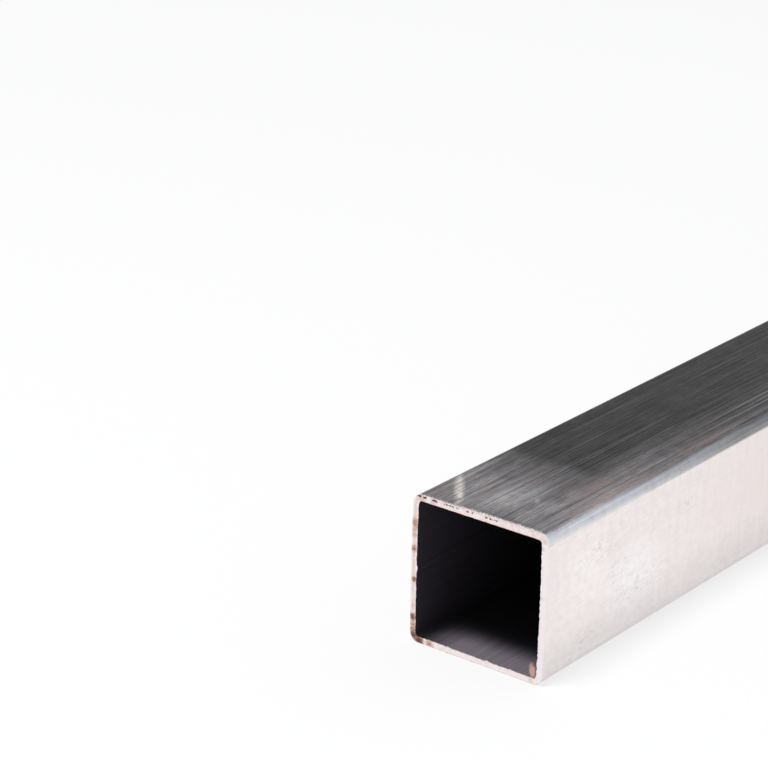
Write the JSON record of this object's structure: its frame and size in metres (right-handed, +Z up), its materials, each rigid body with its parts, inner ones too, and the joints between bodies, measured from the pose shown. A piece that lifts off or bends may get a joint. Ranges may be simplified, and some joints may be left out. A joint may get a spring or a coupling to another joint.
{
  "type": "square steel tube",
  "caption": "Length of square hollow section in rolled steel, open at both sawn ends, with rounded long edges and a weld bead inside.",
  "frame": {"origin": "on the plane the tube rests on, under the middle of its length and width", "axes": "+Y along the tube, +Z up through its top face, +X across it; the cut end that the picture shows faces -Y and the weld seam is in the -X wall"},
  "size_m": [0.06, 1, 0.06],
  "materials": {
    "mill_steel": "bare cold-rolled steel, satin, with fine lines along the length"
  },
  "bodies": {
    "root": {"tube": "mill_steel"}
  },
  "joints": []
}
